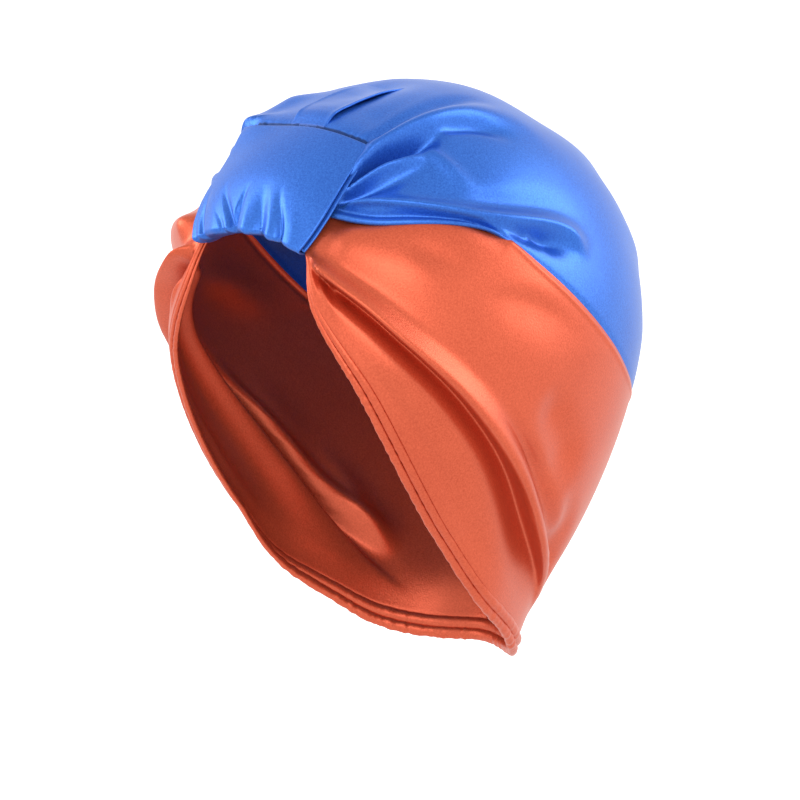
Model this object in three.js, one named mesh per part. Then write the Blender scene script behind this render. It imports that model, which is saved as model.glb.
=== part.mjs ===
// Satin sleep cap in two colours, as it is shaped when worn.
// A blue crown and two orange side panels are gathered under a wide blue tab that folds
// round the front edge. Two soft rolls, the turned hem and the elastic casing, run along the
// opening from the tab, in front of the ears, to the nape.
// Millimetres, +Z up, the face towards -Y, the wearer's left towards +X. The origin is where
// the top of the head touches the inside of the crown.
import * as THREE from "three";
import { mergeVertices } from "three/addons/utils/BufferGeometryUtils.js";

// ---- Driving dimensions -----------------------------------------------------------------

const CLOTH = 1.6; // thickness of a panel: satin and its backing
const GAP = 0.4; // space between two pieces that are sewn edge to edge
const CENTRE_DEPTH = 96; // the head's centre lies this far below the origin

// Half axes of the worn cap's outer surface, from the head's centre.
const HALF = { side: 84, front: 90, back: 101.6, up: 98, down: 150 };
// Superellipse exponents: level sections, then profiles above the centre at the forehead and at
// the back of the head, and profiles below the centre.
const FULLNESS = { level: 2.1, forehead: 1.98, backOfHead: 2.2, below: 1.5 };

// Lines of the cloth, from the middle of the forehead to the middle of the back of the head.
// Each pair is the azimuth from the face and the elevation, in degrees from the head's centre,
// where the line crosses the seven stations.
const STATIONS = ["middle", "tab edge", "brow", "temple", "ear", "behind ear", "back"];
const LAST = STATIONS.length - 1;
const LINES = {
  hem: [[0, 33.5], [22, 30.3], [26, 15], [39.5, -5.5], [59, -41], [105, -67], [180, -67.5]],
  crease: [[0, 34], [22.3, 31.2], [29.5, 18], [43.5, 4], [68, -29.5], [113, -61], [180, -60]],
  fold: [[0, 34.5], [22.7, 32.2], [31, 20], [46.5, 8.5], [72, -21], [118, -56], [180, -54]],
  cheek: [[0, 35.5], [23.5, 34], [34, 28], [50, 22], [79, 4], [122, -29], [180, -39]],
  seam: [[0, 37], [24, 36], [36, 37], [52, 37], [80, 25.5], [125, -9], [180, -22]],
  temple: [[0, 41], [27, 42], [40, 44.5], [57, 45], [88, 36], [130, 10], [180, -1]],
  side: [[0, 46], [29, 49], [42, 53], [62, 55], [98, 48], [138, 28], [180, 18]],
  shoulder: [[0, 50], [22, 57], [38, 64.5], [68, 67], [112, 62], [152, 46], [180, 34]],
  pleat: [[0, 52], [12, 58.5], [20, 71], [45, 80.5], [148, 77], [168, 62], [180, 44]],
  top: [[0, 53], [0, 60], [0, 72], [0, 82], [180, 77.5], [180, 62], [180, 49]],
};

// Folds that the gathers throw in the crown or in the side panels. A fold runs through its
// points, each as azimuth and elevation. Its crest rises by height, or sinks for a dent, and falls away over broad on its
// upper side and over steep on its lower side, where a crease of depth crease lies under it.
// Both widths are scaled from startWidth to endWidth along the fold, which ends at endHeight.
const FOLDS = {
  panels: [
    {
      name: "cheek fold", through: [[21, 26], [38, 15.5], [61, -8], [88, -38], [118, -56]],
      height: 5.0, endHeight: 0, broad: 14, steep: 5.5, crease: 3.6, startWidth: 0.35, endWidth: 1.0,
    },
    {
      name: "jaw fold", through: [[21, 28], [29, 11], [46, -14], [84, -58]],
      height: 1.5, endHeight: 0, broad: 7, steep: 5, crease: 1.2, startWidth: 0.4, endWidth: 1.0,
    },
    {
      name: "brow puff", through: [[26, 29], [42, 24.5], [70, 14]],
      height: 5.0, endHeight: 0, broad: 8, steep: 9, crease: 0, startWidth: 0.7, endWidth: 1.3,
    },
    {
      name: "nape flare", through: [[62, -46], [92, -66], [128, -71], [180, -69]],
      height: 8.0, endHeight: 4.5, broad: 13, steep: 16, crease: 0, startWidth: 0.9, endWidth: 1.0,
    },
  ],
  crown: [
    {
      name: "lip fold", through: [[22, 36.5], [45, 35], [74, 32.5], [97, 30], [114, 21]],
      height: 4.0, endHeight: 0, broad: 10, steep: 6, crease: 0, startWidth: 0.5, endWidth: 1.2,
    },
    {
      name: "ear dent", through: [[82, 28], [97, 25], [113, 16]],
      height: -3.4, endHeight: 0, broad: 5, steep: 7, crease: 0, startWidth: 0.8, endWidth: 1.1,
    },
    {
      name: "temple fold", through: [[23, 40], [30, 44], [40, 48], [58, 51.5]],
      height: 3.4, endHeight: 0, broad: 8, steep: 4.5, crease: 2.4, startWidth: 0.35, endWidth: 1.2,
    },
    {
      name: "shoulder fold", through: [[25, 44], [44, 54], [64, 58.5], [96, 57]],
      height: 3.0, endHeight: 0, broad: 11, steep: 7, crease: 1.8, startWidth: 0.45, endWidth: 1.3,
    },
    {
      name: "top fold", through: [[31, 52], [46, 61.5], [66, 68.5], [104, 70]],
      height: 1.6, endHeight: 0, broad: 11, steep: 9, crease: 0.8, startWidth: 0.6, endWidth: 1.2,
    },
  ],
};
const FOLD_STEPS = 20;
const SWELL = [-0.02, 0.2]; // shares of a fold's length over which it swells from nothing
const FADE = [0.62, 1]; // shares of its length over which it fades to its end height
const CREASE_PLACE = 1.9; // a crease lies this many steep widths below its crest
const EMERGE = { from: -1, to: 7 }; // degrees past the tab's edge over which the folds rise

// The crown's lip over the side panels: how far its fold hangs past the seam, how deep the
// panels lie under it, and the stations between which both begin and fade out. The lip hangs
// over only where the panels lie deep enough, at the least share of their sink.
const LIP = {
  overlap: 7, sink: 3.7, sinkReach: 12, least: 0.45,
  startFrom: 0.6, startTo: 1.9, fadeFrom: 3.4, fadeTo: 4.1,
};

// The box pleat on top of the crown, on the middle line behind the tab.
const PLEAT = { halfWidth: 11, rise: 2.6, edge: 2.5, from: 55, full: 62, until: 88 };

// The tab: azimuth half angles at its seam and at its fold, elevations of both, how far it
// stands off the cloth beneath, its turn round the hem and the length that is tucked inside.
const TAB = {
  seamHalf: 33, foldHalf: 20.5, seamElevation: 57, foldElevation: 30, seamDroop: 5, foldDroop: 1.8,
  lift: 4.2, seamLift: 2.4, inside: 8.4, tuck: 15, thickness: 1.8,
  gathers: 6, gatherHeight: 0.9,
};

// The two rolls along the opening: half width along the cloth, half thickness, the place
// of the middle below the panel's edge and its depth under the outer surface.
const HEM = { halfWidth: 1.8, halfThickness: 1.4, below: 2.2, depth: 1.2 };
const CASING = { halfWidth: 1.6, halfThickness: 1.3, below: 6.0, depth: 2.2 };
const ROLL_SIDES = 8;
const ROLL_GATHERED = { share: 0.46, from: 0.6, to: 2.6 }; // size under the tab, then growing

const BLUE = { color: 0x2a62cf, roughness: 0.42, metalness: 0.05 };
const ORANGE = { color: 0xe8603c, roughness: 0.42, metalness: 0.05 };

// ---- Small tools ------------------------------------------------------------------------

const radians = THREE.MathUtils.degToRad;
const smooth = (x, from, to) => THREE.MathUtils.smoothstep(x, from, to);
const mix = THREE.MathUtils.lerp;

function direction(azimuth, elevation) {
  const a = radians(azimuth);
  const e = radians(elevation);
  return new THREE.Vector3(Math.sin(a) * Math.cos(e), -Math.cos(a) * Math.cos(e), Math.sin(e));
}

// Radius of the cap's smooth outer form along a unit direction: an ellipse-like level section,
// (x/side)^n + (y/length)^n, joined to the height by a second superellipse.
function formRadius(d) {
  const length = d.y < 0 ? HALF.front : HALF.back;
  const height = d.z > 0 ? HALF.up : HALF.down;
  const backwards = 0.5 + (0.5 * d.y) / Math.hypot(d.x, d.y, 1e-6);
  const above = mix(FULLNESS.forehead, FULLNESS.backOfHead, backwards);
  const power = d.z > 0 ? above : FULLNESS.below;
  const level =
    ((Math.abs(d.x) / HALF.side) ** FULLNESS.level + (Math.abs(d.y) / length) ** FULLNESS.level) **
    (1 / FULLNESS.level);
  return (level ** power + (Math.abs(d.z) / height) ** power) ** (-1 / power);
}

// The point that stands at a height above the smooth form along a unit direction.
function onForm(d, height = 0) {
  const r = formRadius(d) + height;
  return new THREE.Vector3(d.x * r, d.y * r, d.z * r - CENTRE_DEPTH);
}

// A line of the cloth through its stations and, mirrored, back on the wearer's right side.
function clothLine(stations) {
  const left = stations.map(([azimuth, elevation]) => direction(azimuth, elevation));
  const right = left.slice(0, -1).reverse();
  const mirrored = right.map((d) => new THREE.Vector3(-d.x, d.y, d.z));
  const spline = new THREE.CatmullRomCurve3([...left, ...mirrored], false, "centripetal");
  return (station) => {
    const d = spline.getPoint(station / (2 * LAST));
    if (station === 0 || station === LAST) d.x = 0;
    return d.normalize();
  };
}
const lines = Object.fromEntries(
  Object.entries(LINES).map(([name, stations]) => [name, clothLine(stations)])
);

// A direction between named lines: share 0 is the first line, share 1 the last, on a smooth
// curve through all of them.
function between(names, share, station) {
  const points = names.map((name) => lines[name](station));
  const d = new THREE.CatmullRomCurve3(points, false, "centripetal").getPoint(share);
  if (station === 0 || station === LAST) d.x = 0;
  return d.normalize();
}

// A direction moved by a distance on the surface, towards the head's top.
function moveUp(d, distance) {
  const up = new THREE.Vector3(0, 0, 1).addScaledVector(d, -d.z).normalize();
  return d.clone().addScaledVector(up, distance / formRadius(d)).normalize();
}

// ---- Relief -----------------------------------------------------------------------------

// Each fold with its crest as points on the form.
const withCrest = (fold) => {
  const points = fold.through.map(([a, e]) => direction(a, e));
  const spline = new THREE.CatmullRomCurve3(points, false, "centripetal");
  return { ...fold, crest: spline.getPoints(FOLD_STEPS).map((d) => onForm(d.normalize())) };
};
const panelFolds = FOLDS.panels.map(withCrest);
const crownFolds = FOLDS.crown.map(withCrest);

// Signed distance of a point from a crest, positive on its upper side, and the share of the
// crest's length at the nearest place.
function nearCrest(crest, point) {
  let best = { gap: Infinity, share: 0, side: 1 };
  for (let i = 0; i < crest.length - 1; i++) {
    const along = crest[i + 1].clone().sub(crest[i]);
    const out = point.clone().sub(crest[i]);
    const share = THREE.MathUtils.clamp(out.dot(along) / along.lengthSq(), 0, 1);
    const gap = out.addScaledVector(along, -share).length();
    if (gap < best.gap) {
      const outward = point.clone().setZ(point.z + CENTRE_DEPTH);
      const side = Math.sign(outward.cross(along).dot(out)) || 1;
      best = { gap, share: (i + share) / (crest.length - 1), side };
    }
  }
  return best;
}

// Height of one fold at a point: a bell-shaped crest, broad above and steep below, with a
// crease under it, that swells from its start and dies away at its end.
function foldHeight(fold, point) {
  const { gap, share, side } = nearCrest(fold.crest, point);
  const scale = mix(fold.startWidth, fold.endWidth, share);
  const swell = smooth(share, ...SWELL);
  const fade = smooth(share, ...FADE);
  const width = scale * (side > 0 ? fold.broad : fold.steep);
  const rise = mix(fold.height, fold.endHeight, fade) * Math.exp(-((gap / width) ** 2));
  const past = (-side * gap) / (fold.steep * scale) - CREASE_PLACE;
  return swell * (rise - (1 - fade) * fold.crease * Math.exp(-(past ** 2)));
}

// How far a direction is clear of the tab, from 0 under it to 1.
function clearOfTab(d) {
  const azimuth = Math.abs(THREE.MathUtils.radToDeg(Math.atan2(d.x, -d.y)));
  const elevation = THREE.MathUtils.radToDeg(Math.asin(d.z));
  const down = (TAB.seamElevation - elevation) / (TAB.seamElevation - TAB.foldElevation);
  const past = azimuth - mix(TAB.seamHalf, TAB.foldHalf, THREE.MathUtils.clamp(down, 0, 1));
  const above = elevation - TAB.seamElevation;
  return Math.max(smooth(past, EMERGE.from, EMERGE.to), smooth(above, EMERGE.from, EMERGE.to));
}

// Height of all of a piece's folds along a unit direction.
function relief(foldsOfPiece, d) {
  const emerged = clearOfTab(d);
  if (emerged === 0) return 0;
  const point = onForm(new THREE.Vector3(Math.abs(d.x), d.y, d.z));
  return emerged * foldsOfPiece.reduce((sum, fold) => sum + foldHeight(fold, point), 0);
}

// The box pleat stands on the middle line, between its own start and the top of the head.
function pleat(d) {
  const angle = THREE.MathUtils.radToDeg(Math.atan2(d.z, -d.y));
  const along = smooth(angle, PLEAT.from, PLEAT.full) * (1 - smooth(angle, PLEAT.full, PLEAT.until));
  const across = Math.abs(d.x) * formRadius(d);
  return PLEAT.rise * along * (1 - smooth(across, PLEAT.halfWidth - PLEAT.edge, PLEAT.halfWidth));
}

// 1 where the crown's lip hangs over the side panels, 0 under the tab and behind the ear.
const lipShare = (station) =>
  smooth(station, LIP.startFrom, LIP.startTo) * (1 - smooth(station, LIP.fadeFrom, LIP.fadeTo));

// ---- Solids -----------------------------------------------------------------------------

// Triangles of one half of a sheet: its outer and inner grids of rows and columns, and walls
// round the edges that are named.
function sheetTriangles(outer, inner, walls) {
  const triangles = [];
  const quad = (a, b, c, d) => triangles.push(a, b, c, a, c, d);
  const rows = outer.length - 1;
  const columns = outer[0].length - 1;
  for (let i = 0; i < rows; i++)
    for (let j = 0; j < columns; j++) {
      quad(outer[i][j], outer[i][j + 1], outer[i + 1][j + 1], outer[i + 1][j]);
      quad(inner[i][j], inner[i + 1][j], inner[i + 1][j + 1], inner[i][j + 1]);
    }
  for (let j = 0; j < columns; j++) {
    if (walls.first) quad(outer[0][j], inner[0][j], inner[0][j + 1], outer[0][j + 1]);
    if (walls.last) quad(outer[rows][j + 1], inner[rows][j + 1], inner[rows][j], outer[rows][j]);
  }
  for (let i = 0; i < rows; i++) {
    if (walls.start) quad(outer[i + 1][0], inner[i + 1][0], inner[i][0], outer[i][0]);
    if (walls.end)
      quad(outer[i][columns], inner[i][columns], inner[i + 1][columns], outer[i + 1][columns]);
  }
  return triangles;
}

// The same triangles on the wearer's right side, facing outwards again.
function mirror(triangles) {
  const across = triangles.map((p) => new THREE.Vector3(-p.x, p.y, p.z));
  for (let i = 0; i < across.length; i += 3)
    [across[i + 1], across[i + 2]] = [across[i + 2], across[i + 1]];
  return across;
}

function solid(name, triangles, finish) {
  const loose = new THREE.BufferGeometry().setFromPoints(triangles);
  const geometry = mergeVertices(loose, 1e-4);
  geometry.setIndex(dropSlivers(Array.from(geometry.index.array)));
  geometry.computeVertexNormals();
  const mesh = new THREE.Mesh(geometry, new THREE.MeshStandardMaterial(finish));
  mesh.name = name;
  return mesh;
}

// Triangles whose corners were merged into one another are left out.
function dropSlivers(index) {
  const kept = [];
  for (let i = 0; i < index.length; i += 3) {
    const [a, b, c] = index.slice(i, i + 3);
    if (a !== b && b !== c && c !== a) kept.push(a, b, c);
  }
  return kept;
}

const grid = (rows, columns, at) =>
  Array.from({ length: rows + 1 }, (_, i) =>
    Array.from({ length: columns + 1 }, (_, j) => at(i / rows, j / columns))
  );

// ---- Pieces -----------------------------------------------------------------------------

// The crown: from the seam over the top of the head, both halves in one piece. Its front lip
// hangs over the side panels.
function crown() {
  const names = ["seam", "temple", "side", "shoulder", "pleat", "top"];
  const at = (depth) => (share, v) => {
    const station = v * LAST;
    let d = between(names, share, station);
    const hang = THREE.MathUtils.clamp((lipShare(station) - LIP.least) / (1 - LIP.least), 0, 1);
    const shift = (GAP / 2 - (LIP.overlap + GAP / 2) * hang) * (1 - smooth(share, 0, 0.2));
    d = moveUp(d, shift);
    return onForm(d, relief(crownFolds, d) + pleat(d) - depth);
  };
  const rows = 17;
  const columns = 32;
  const half = sheetTriangles(grid(rows, columns, at(0)), grid(rows, columns, at(CLOTH)), {
    first: true,
  });
  return solid("crown", [...half, ...mirror(half)], BLUE);
}

// A side panel: from the hem up to the seam, from under the tab to the seam at the back.
function sidePanelTriangles() {
  const names = ["hem", "crease", "fold", "cheek", "seam"];
  const at = (depth) => (share, v) => {
    const station = v * LAST;
    let d = between(names, share, station);
    d = moveUp(d, (-GAP / 2) * smooth(share, 0.6, 1));
    const toSeam = onForm(d).distanceTo(onForm(lines.seam(station)));
    const sink = LIP.sink * Math.sqrt(lipShare(station)) * Math.exp(-((toSeam / LIP.sinkReach) ** 2));
    const p = onForm(d, relief(panelFolds, d) - sink - depth);
    return p.setX(Math.max(p.x, GAP / 2));
  };
  const rows = 12;
  const columns = 35;
  return sheetTriangles(grid(rows, columns, at(0)), grid(rows, columns, at(CLOTH)), {
    first: true, last: true, start: true, end: true,
  });
}

// The tab's path in the (down the cloth, off the cloth) plane: down over the forehead, half a
// turn round the hem, and up inside. Each point has its run down from the seam and its height.
function tabPath(legLength) {
  const turnRadius = (TAB.lift + TAB.inside) / 2;
  const path = [];
  const outerSteps = 9;
  const turnSteps = 6;
  const innerSteps = 2;
  for (let i = 0; i < outerSteps; i++) {
    const share = i / outerSteps;
    path.push([share * legLength, mix(TAB.seamLift, TAB.lift, Math.sqrt(share))]);
  }
  for (let i = 0; i <= turnSteps; i++) {
    const turn = (Math.PI * i) / turnSteps;
    path.push([
      legLength + 0.55 * turnRadius * Math.sin(turn),
      (TAB.lift - TAB.inside) / 2 + turnRadius * Math.cos(turn),
    ]);
  }
  for (let i = 1; i <= innerSteps; i++)
    path.push([legLength - (TAB.tuck * i) / innerSteps, -TAB.inside]);
  return path;
}

// The tab: the path above, carried across the forehead. Flutes of its gathered edge run up
// from the turn.
function frontTab() {
  const columns = 24;
  const legDegrees = TAB.seamElevation - TAB.foldElevation;
  const legLength = radians(legDegrees) * formRadius(direction(0, 42));
  const path = tabPath(legLength);
  const at = (side) => (share, across) => {
    const i = Math.round(share * (path.length - 1));
    const [run, height] = path[i];
    const before = path[Math.max(i - 1, 0)];
    const after = path[Math.min(i + 1, path.length - 1)];
    const tangent = new THREE.Vector2(after[0] - before[0], after[1] - before[1]).normalize();
    const half = (side * TAB.thickness) / 2;
    const sideways = 2 * across - 1;
    const down = Math.min(run / legLength, 1);
    const gathered = TAB.gatherHeight * smooth(down, 0.35, 1) * (height > 0 ? 1 : 0.4);
    const flute = gathered * Math.cos(TAB.gathers * Math.PI * sideways);
    const azimuth = sideways * mix(TAB.seamHalf, TAB.foldHalf, down);
    const droop = mix(TAB.seamDroop, TAB.foldDroop, down) * sideways ** 2;
    const elevation = TAB.seamElevation - droop - ((run - half * tangent.y) / legLength) * legDegrees;
    return onForm(direction(azimuth, elevation), height + half * tangent.x + flute);
  };
  const rows = path.length - 1;
  const outer = grid(rows, columns, at(1)).reverse();
  const inner = grid(rows, columns, at(-1)).reverse();
  return solid(
    "front_tab",
    sheetTriangles(outer, inner, { first: true, last: true, start: true, end: true }),
    BLUE
  );
}

// A soft roll all round the opening: an oval section carried along the hem, drawn towards the
// middle of the tab's turn at the forehead.
function roll(name, size) {
  const steps = 31;
  const section = (station, turn) => {
    const here = lines.hem(station);
    const ahead = lines.hem(Math.min(station + 0.02, LAST));
    const behind = lines.hem(Math.max(station - 0.02, 0));
    const along = ahead.clone().sub(behind).normalize();
    if (station === 0) along.set(1, 0, 0);
    if (station === LAST) along.set(-1, 0, 0);
    const down = along.clone().cross(here).normalize();
    const scale = mix(ROLL_GATHERED.share, 1, smooth(station, ROLL_GATHERED.from, ROLL_GATHERED.to));
    const reach = GAP / 2 + scale * (size.below + size.halfWidth * Math.cos(turn));
    const d = here.clone().addScaledVector(down, reach / formRadius(here)).normalize();
    if (station === 0 || station === LAST) d.x = 0;
    const height = relief(panelFolds, here) - size.depth;
    return onForm(d, height + scale * size.halfThickness * Math.sin(turn));
  };
  const at = (turn, v) => section(v * LAST, 2 * Math.PI * (turn === 1 ? 0 : turn));
  const skin = grid(ROLL_SIDES, steps, at);
  const half = [];
  for (let i = 0; i < ROLL_SIDES; i++)
    for (let j = 0; j < steps; j++)
      half.push(
        skin[i][j], skin[i][j + 1], skin[i + 1][j + 1],
        skin[i][j], skin[i + 1][j + 1], skin[i + 1][j]
      );
  return solid(name, [...half, ...mirror(half)], ORANGE);
}

// ---- Assembly ---------------------------------------------------------------------------

const cap = new THREE.Group();
const left = sidePanelTriangles();
cap.add(crown());
cap.add(solid("side_panel_left", left, ORANGE));
cap.add(solid("side_panel_right", mirror(left), ORANGE));
cap.add(roll("hem_roll", HEM));
cap.add(roll("elastic_casing", CASING));
cap.add(frontTab());

export default cap;
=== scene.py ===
"""Satin sleep cap in two colours, in its worn form.

A blue crown and two orange side panels are gathered under a wide blue tab that folds round the
front edge. A turned hem and an elastic casing run along the opening from the tab to the nape.
Shapes are worked out in millimetres and degrees from the head's centre; +Z is up, the face looks
towards -Y and the wearer's left is +X.
"""

from collections import namedtuple

import bmesh
import bpy
import numpy as np
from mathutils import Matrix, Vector


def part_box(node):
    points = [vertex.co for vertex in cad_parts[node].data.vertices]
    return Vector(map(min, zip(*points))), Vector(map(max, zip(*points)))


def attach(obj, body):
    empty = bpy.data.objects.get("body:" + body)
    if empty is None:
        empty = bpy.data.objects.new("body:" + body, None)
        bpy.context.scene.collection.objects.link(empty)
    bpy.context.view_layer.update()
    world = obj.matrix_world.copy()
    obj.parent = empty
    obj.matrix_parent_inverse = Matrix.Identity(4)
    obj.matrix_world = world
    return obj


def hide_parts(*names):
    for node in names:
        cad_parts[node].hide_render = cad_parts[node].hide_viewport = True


bl_info = {
    "name": "Satin sleep cap",
    "version": (1, 0, 0),
    "blender": (4, 5, 0),
    "location": "3D View > Sidebar > Sleep Cap",
    "description": "Builds a gathered two-colour satin sleep cap and a stage to show it on",
    "category": "Add Mesh",
}

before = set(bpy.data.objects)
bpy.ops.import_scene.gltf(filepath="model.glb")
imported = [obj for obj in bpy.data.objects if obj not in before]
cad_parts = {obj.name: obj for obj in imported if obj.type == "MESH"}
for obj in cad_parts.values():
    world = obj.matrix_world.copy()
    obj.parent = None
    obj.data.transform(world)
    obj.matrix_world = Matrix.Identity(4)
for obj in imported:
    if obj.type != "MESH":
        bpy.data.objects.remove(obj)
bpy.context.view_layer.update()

MM = 0.001

# ---- The worn form ----

CENTRE_DEPTH = 96.0  # the head's centre lies this far below the origin
TO_CENTRE = np.array([0, 0, CENTRE_DEPTH])  # takes points to the head's centre as origin
HALF_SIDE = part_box("side_panel_left")[1].x / MM
HALF_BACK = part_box("crown")[1].y / MM
HALF_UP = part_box("crown")[1].z / MM + CENTRE_DEPTH
HALF_FRONT = 90.0
HALF_DOWN = 150.0
LEVEL_POWER = 2.1
FOREHEAD_POWER = 1.98
BACK_POWER = 2.2
BELOW_POWER = 1.5

# Lines of the cloth from the middle of the forehead to the middle of the back of the head: the
# azimuth from the face and the elevation at seven stations, which are the middle, the tab's
# edge, the brow, the temple, the ear, behind the ear and the back.
LAST = 6  # the last station
LINES = {
    "hem": [(0, 37.5), (18.2, 29.5), (24.6, 15), (39, -5.5), (59, -41), (112, -66.2), (180, -67.4)],
    "crease": [(0, 38), (19.6, 30.8), (28.4, 18), (43.2, 4), (68, -29.5), (114, -61), (180, -60)],
    "fold": [(0, 38.5), (20.8, 32.1), (30.4, 20), (46.5, 8.5), (72, -21), (118, -56), (180, -54)],
    "cheek": [(0, 39), (22.8, 34), (34, 28), (50, 22), (79, 4), (122, -29), (180, -39)],
    "seam": [(0, 40), (24, 36), (38, 37), (69, 36.4), (87, 22.6), (125, -7.5), (180, -22)],
    "lip": [(0, 40), (24, 36), (37, 34.2), (71.5, 32.4), (87, 22.6), (125, -7.5), (180, -22)],
    "temple": [(0, 43), (27, 42), (40, 44.5), (57, 45), (88, 36), (130, 10), (180, -1)],
    "side": [(0, 46), (29, 49), (42, 53), (62, 55), (98, 48), (138, 28), (180, 18)],
    "shoulder": [(0, 50), (22, 57), (38, 64.5), (68, 67), (112, 62), (152, 46), (180, 34)],
    "pleat": [(0, 52), (12, 58.5), (20, 71), (45, 80.5), (148, 77), (168, 62), (180, 44)],
    "top": [(0, 53), (0, 60), (0, 72), (0, 82), (180, 77.5), (180, 62), (180, 49)],
}

# ---- Folds ----

# A fold follows its crest through points of azimuth and elevation. The cloth rises there by
# height, or sinks into a valley where that is negative, falls away over broad above the crest
# and over steep below it, and leans over its lower side by lean times steep. The widths are
# scaled from begin to finish along the fold. It swells from nothing over the share swell of
# its length, and from the share fade on it dies away to the height end.
FOLD_FIELDS = "side height broad steep lean begin finish swell fade through end"
Fold = namedtuple("Fold", FOLD_FIELDS, defaults=[0])

CROWN_FOLDS = [Fold(*row) for row in [
    # the ridge above the lip, which runs out behind the ear, and the valley over it
    ("left", 3.2, 5.0, 2.8, 0.4, 0.45, 1.0, 0.08, 0.8,
     [(25, 38.6), (36, 39), (46, 38.8), (57, 37.8), (68, 36.2), (81, 34.8), (92, 33.2), (99, 30.6),
      (103, 27), (106, 22)]),
    ("left", -1.6, 5.5, 5.5, 0, 0.6, 1.3, 0.4, 0.5,
     [(62, 40.5), (70, 39.6), (80, 39), (91, 37.6), (102, 34), (110, 29)]),
    # the dent under that ridge, with a small pleat across it
    ("left", -5.4, 2.8, 4.8, 0, 0.6, 1.1, 0.5, 0.6,
     [(72, 32.4), (80, 31.8), (86, 30.8), (91, 29.4), (96.5, 27.6), (102, 24)]),
    ("left", 1.4, 1.5, 1.5, 0, 0.7, 1.5, 0.5, 0.4,
     [(82, 33.4), (85.6, 30.8), (88.4, 28.2), (91, 24)]),
    # the long upper fold over the temple, and the valley over it
    ("left", 5.2, 6.5, 4.4, 0.4, 0.45, 1.6, 0.05, 0.55,
     [(26, 42), (29, 46.8), (32.4, 50.6), (39.6, 55.8), (49.6, 60.4), (65, 64.2), (90, 65.4),
      (110, 60), (120, 50)]),
    ("left", -3.0, 3.0, 3.0, 0, 0.6, 1.5, 0.1, 0.6,
     [(31.5, 54.4), (38, 58.6), (48, 63.6), (60, 67.2), (78, 70), (98, 70), (114, 65)]),
    # the short lower fold, which ends in a star, and the valleys on both its sides
    ("left", -6.6, 2.5, 2.3, 0, 0.45, 1.9, 0.05, 0.6,
     [(26.8, 42), (32.2, 46.6), (38.6, 50.8), (49, 54.8), (58, 57.6), (66, 58.6)]),
    ("left", 3.4, 2.0, 2.4, 0.2, 0.5, 1.4, 0.05, 0.6,
     [(26, 40.8), (32.6, 44.6), (40, 48.2), (45.4, 49.6), (51.6, 51.4), (56.8, 53.6)], 0.5),
    ("left", -3.6, 2.8, 3.2, 0, 0.5, 1.6, 0.05, 0.45,
     [(26, 38.8), (31, 40.8), (37.8, 43.4), (46, 46), (55, 49)]),
    ("left", 2.0, 2.2, 2.6, 0, 0.8, 1.7, 0.4, 0.4,
     [(54, 55), (57.4, 52.8), (60.6, 50.2), (63.6, 47.3), (67.3, 43.2), (70, 39.8)]),
    ("left", -3.2, 3.0, 3.4, 0, 0.8, 1.2, 0.4, 0.5,
     [(56, 58), (64, 60.6), (74, 61.6), (85, 61), (94, 58), (99, 54)]),
    # the wearer's right side, where the folds lie a little differently
    ("right", 4.0, 8, 8, 0, 0.9, 1.0, 0.02, 0.6,
     [(36, 54), (44, 57.6), (48, 62.6), (50, 68), (56, 75)]),
    ("right", -3.0, 4, 5, 0, 0.6, 1.2, 0.1, 0.5, [(34, 50), (38, 45), (44, 41), (54, 38)]),
    ("right", 3.6, 7, 6, 0, 0.5, 1.0, 0.4, 0.7,
     [(34, 38.4), (50, 39.6), (70, 37.4), (88, 33.4), (104, 27)]),
    ("right", 2.6, 6, 4, 0.2, 0.6, 1.3, 0.5, 0.7, [(38, 43), (50, 47), (64, 50), (82, 50)]),
    ("right", -2.4, 5, 4.5, 0, 0.6, 1.4, 0.4, 0.6, [(42, 49), (54, 52.6), (68, 54.4), (86, 53)]),
    ("right", 2.6, 8, 5, 0.2, 0.6, 1.4, 0.5, 0.6, [(46, 54), (62, 58.6), (82, 59.4), (106, 54)]),
    ("right", -1.8, 7, 6, 0, 0.6, 1.4, 0.4, 0.6, [(56, 62.5), (78, 65), (104, 60)]),
    ("right", -4.2, 9, 9, 0, 0.9, 1.1, 0.3, 0.6, [(66, 70), (98, 71), (130, 72)]),
    ("right", -2.6, 4, 6, 0, 0.7, 1.1, 0.3, 0.6, [(80, 29), (94, 26), (110, 18)]),
    # the dip along the middle line at the top, under the box pleat
    ("left", -3.4, 12, 12, 0, 1, 1, 0.4, 0.6, [(0, 66), (0, 73), (0, 80), (0, 87), (180, 86)]),
    # the flatter back of the head and long soft folds round it
    ("left", -2.6, 22, 18, 0, 1, 1, 0.3, 0.7,
     [(112, 60), (135, 58), (158, 56), (180, 55.4), (202, 56), (225, 58), (248, 60)]),
    ("both", 1.8, 9, 7, 0, 0.8, 1.2, 0.5, 0.6, [(128, 30), (150, 16), (166, 4), (176, -6)]),
    ("both", -1.6, 8, 8, 0, 0.8, 1.2, 0.5, 0.6, [(130, 44), (152, 32), (170, 18), (178, 8)]),
]]

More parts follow.
